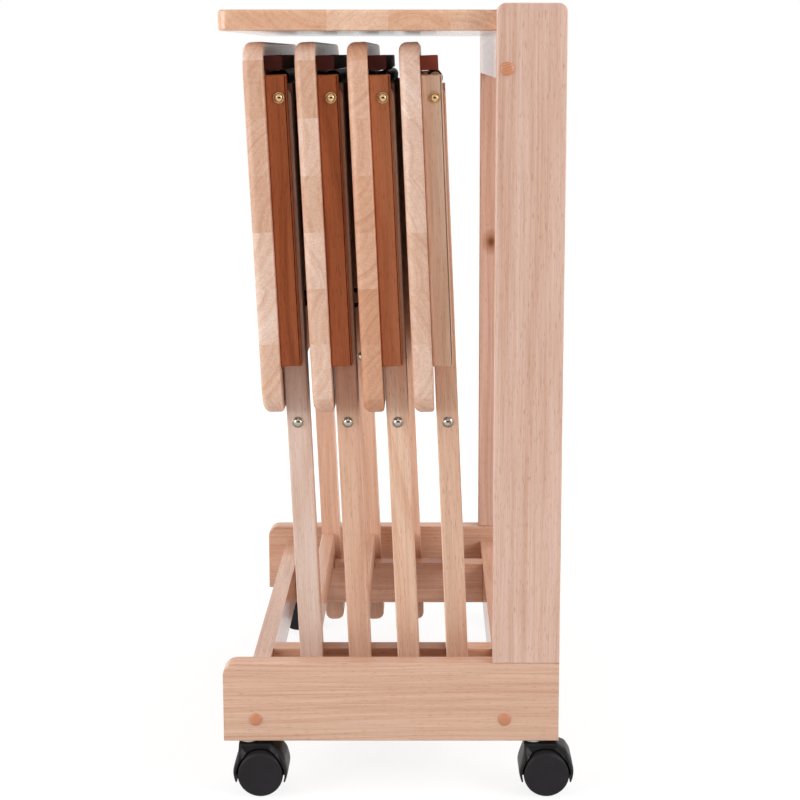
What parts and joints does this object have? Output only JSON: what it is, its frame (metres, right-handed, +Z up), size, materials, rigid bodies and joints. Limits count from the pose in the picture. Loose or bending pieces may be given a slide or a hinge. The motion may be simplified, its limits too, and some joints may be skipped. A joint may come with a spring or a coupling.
{
  "type": "folding tray table set",
  "caption": "Rolling wooden rack with a top shelf, in which folded tray tables with crossed legs lean side by side on notched bearer bars.",
  "frame": {"origin": "on the floor, under the middle of the bounding box", "axes": "+Z up, +X from the open front of the rack to its uprights, +Y along the width"},
  "size_m": [0.3702, 0.581, 0.8232],
  "materials": {
    "frame_wood": "satin lacquered rubberwood",
    "board_wood": "satin lacquered rubberwood boards",
    "cap_wood": "satin end-grain wood",
    "bolt_metal": "polished nickel",
    "black_tube": "gloss black enamel",
    "brown_plastic": "satin dark brown",
    "hood_plastic": "satin black",
    "wheel_plastic": "matte dark grey"
  },
  "bodies": {
    "rack": {"right_foot_rail": "frame_wood", "left_foot_rail": "frame_wood", "right_upright": "frame_wood", "left_upright": "frame_wood", "front_stretcher": "frame_wood", "back_stretcher": "frame_wood", "right_bearer_bar": "frame_wood", "left_bearer_bar": "frame_wood", "top_shelf": "board_wood", "top_rail": "frame_wood", "screw_caps": "cap_wood", "frame_screws": "bolt_metal", "frame_dowels": "cap_wood", "caster_sockets": "bolt_metal"},
    "table_1_inner_frame": {"inner_legs_1": "frame_wood", "lower_stretcher_1": "frame_wood", "crossbar_1": "black_tube"},
    "table_1_outer_frame": {"outer_legs_1": "frame_wood", "pivot_bolts_1": "bolt_metal"},
    "table_1_tray": {"tray_top_1": "board_wood", "side_cleats_1": "frame_wood", "tray_catches_1": "brown_plastic"},
    "table_2_inner_frame": {"inner_legs_2": "frame_wood", "lower_stretcher_2": "frame_wood", "crossbar_2": "black_tube"},
    "table_2_outer_frame": {"outer_legs_2": "frame_wood", "pivot_bolts_2": "bolt_metal"},
    "table_2_tray": {"tray_top_2": "board_wood", "side_cleats_2": "frame_wood", "tray_catches_2": "brown_plastic"},
    "table_3_inner_frame": {"inner_legs_3": "frame_wood", "lower_stretcher_3": "frame_wood", "crossbar_3": "black_tube"},
    "table_3_outer_frame": {"outer_legs_3": "frame_wood", "pivot_bolts_3": "bolt_metal"},
    "table_3_tray": {"tray_top_3": "board_wood", "side_cleats_3": "frame_wood", "tray_catches_3": "brown_plastic"},
    "table_4_inner_frame": {"inner_legs_4": "frame_wood", "lower_stretcher_4": "frame_wood", "crossbar_4": "black_tube"},
    "table_4_outer_frame": {"outer_legs_4": "frame_wood", "pivot_bolts_4": "bolt_metal"},
    "table_4_tray": {"tray_top_4": "board_wood", "side_cleats_4": "frame_wood", "tray_catches_4": "brown_plastic"},
    "right_front_caster": {"caster_fork_1": "hood_plastic"},
    "right_front_outer_wheel": {"outer_wheel_1": "wheel_plastic"},
    "right_front_inner_wheel": {"inner_wheel_1": "wheel_plastic"},
    "right_back_caster": {"caster_fork_2": "hood_plastic"},
    "right_back_outer_wheel": {"outer_wheel_2": "wheel_plastic"},
    "right_back_inner_wheel": {"inner_wheel_2": "wheel_plastic"},
    "left_front_caster": {"caster_fork_3": "hood_plastic"},
    "left_front_outer_wheel": {"outer_wheel_3": "wheel_plastic"},
    "left_front_inner_wheel": {"inner_wheel_3": "wheel_plastic"},
    "left_back_caster": {"caster_fork_4": "hood_plastic"},
    "left_back_outer_wheel": {"outer_wheel_4": "wheel_plastic"},
    "left_back_inner_wheel": {"inner_wheel_4": "wheel_plastic"}
  },
  "joints": [
    {"name": "table_1_lift", "type": "slide", "parent": "rack", "child": "table_1_inner_frame", "axis": [-0.0419, 0, 0.9991], "range_m": [0, 0.007]},
    {"name": "table_1_legs", "type": "hinge", "parent": "table_1_inner_frame", "child": "table_1_outer_frame", "pos_m": [-0.1066, 0, 0.38942], "axis": [0, -1, 0], "range_deg": [0, 4.5]},
    {"name": "table_1_tray_tilt", "type": "hinge", "parent": "table_1_outer_frame", "child": "table_1_tray", "pos_m": [-0.12086, 0, 0.72962], "axis": [0, 1, 0], "range_deg": [0, 7]},
    {"name": "table_2_lift", "type": "slide", "parent": "rack", "child": "table_2_inner_frame", "axis": [-0.0419, 0, 0.9991], "range_m": [0, 0.007]},
    {"name": "table_2_legs", "type": "hinge", "parent": "table_2_inner_frame", "child": "table_2_outer_frame", "pos_m": [-0.0538, 0, 0.38942], "axis": [0, -1, 0], "range_deg": [0, 0.8]},
    {"name": "table_2_tray_tilt", "type": "hinge", "parent": "table_2_outer_frame", "child": "table_2_tray", "pos_m": [-0.06806, 0, 0.72962], "axis": [0, 1, 0], "range_deg": [0, 0.9]},
    {"name": "table_3_lift", "type": "slide", "parent": "rack", "child": "table_3_inner_frame", "axis": [-0.0419, 0, 0.9991], "range_m": [0, 0.007]},
    {"name": "table_3_legs", "type": "hinge", "parent": "table_3_inner_frame", "child": "table_3_outer_frame", "pos_m": [-0.001, 0, 0.38942], "axis": [0, -1, 0], "range_deg": [0, 0.8]},
    {"name": "table_3_tray_tilt", "type": "hinge", "parent": "table_3_outer_frame", "child": "table_3_tray", "pos_m": [-0.01526, 0, 0.72962], "axis": [0, 1, 0], "range_deg": [0, 0.9]},
    {"name": "table_4_lift", "type": "slide", "parent": "rack", "child": "table_4_inner_frame", "axis": [-0.0419, 0, 0.9991], "range_m": [0, 0.007]},
    {"name": "table_4_legs", "type": "hinge", "parent": "table_4_inner_frame", "child": "table_4_outer_frame", "pos_m": [0.0518, 0, 0.38942], "axis": [0, -1, 0], "range_deg": [0, 0.8]},
    {"name": "table_4_tray_tilt", "type": "hinge", "parent": "table_4_outer_frame", "child": "table_4_tray", "pos_m": [0.03754, 0, 0.72962], "axis": [0, 1, 0], "range_deg": [0, 0.9]},
    {"name": "right_front_caster_swivel", "type": "hinge", "parent": "rack", "child": "right_front_caster", "pos_m": [-0.15909, -0.267, 0.0572], "axis": [0, 0, 1], "continuous": true},
    {"name": "right_front_outer_wheel_spin", "type": "hinge", "parent": "right_front_caster", "child": "right_front_outer_wheel", "pos_m": [-0.14609, -0.267, 0.024], "axis": [0, 1, 0], "continuous": true},
    {"name": "right_front_inner_wheel_spin", "type": "hinge", "parent": "right_front_caster", "child": "right_front_inner_wheel", "pos_m": [-0.14609, -0.267, 0.024], "axis": [0, 1, 0], "continuous": true},
    {"name": "right_back_caster_swivel", "type": "hinge", "parent": "rack", "child": "right_back_caster", "pos_m": [0.14289, -0.267, 0.0572], "axis": [0, 0, 1], "continuous": true},
    {"name": "right_back_outer_wheel_spin", "type": "hinge", "parent": "right_back_caster", "child": "right_back_outer_wheel", "pos_m": [0.15589, -0.267, 0.024], "axis": [0, 1, 0], "continuous": true},
    {"name": "right_back_inner_wheel_spin", "type": "hinge", "parent": "right_back_caster", "child": "right_back_inner_wheel", "pos_m": [0.15589, -0.267, 0.024], "axis": [0, 1, 0], "continuous": true},
    {"name": "left_front_caster_swivel", "type": "hinge", "parent": "rack", "child": "left_front_caster", "pos_m": [-0.15909, 0.267, 0.0572], "axis": [0, 0, 1], "continuous": true},
    {"name": "left_front_outer_wheel_spin", "type": "hinge", "parent": "left_front_caster", "child": "left_front_outer_wheel", "pos_m": [-0.14609, 0.267, 0.024], "axis": [0, 1, 0], "continuous": true},
    {"name": "left_front_inner_wheel_spin", "type": "hinge", "parent": "left_front_caster", "child": "left_front_inner_wheel", "pos_m": [-0.14609, 0.267, 0.024], "axis": [0, 1, 0], "continuous": true},
    {"name": "left_back_caster_swivel", "type": "hinge", "parent": "rack", "child": "left_back_caster", "pos_m": [0.14289, 0.267, 0.0572], "axis": [0, 0, 1], "continuous": true},
    {"name": "left_back_outer_wheel_spin", "type": "hinge", "parent": "left_back_caster", "child": "left_back_outer_wheel", "pos_m": [0.15589, 0.267, 0.024], "axis": [0, 1, 0], "continuous": true},
    {"name": "left_back_inner_wheel_spin", "type": "hinge", "parent": "left_back_caster", "child": "left_back_inner_wheel", "pos_m": [0.15589, 0.267, 0.024], "axis": [0, 1, 0], "continuous": true}
  ]
}
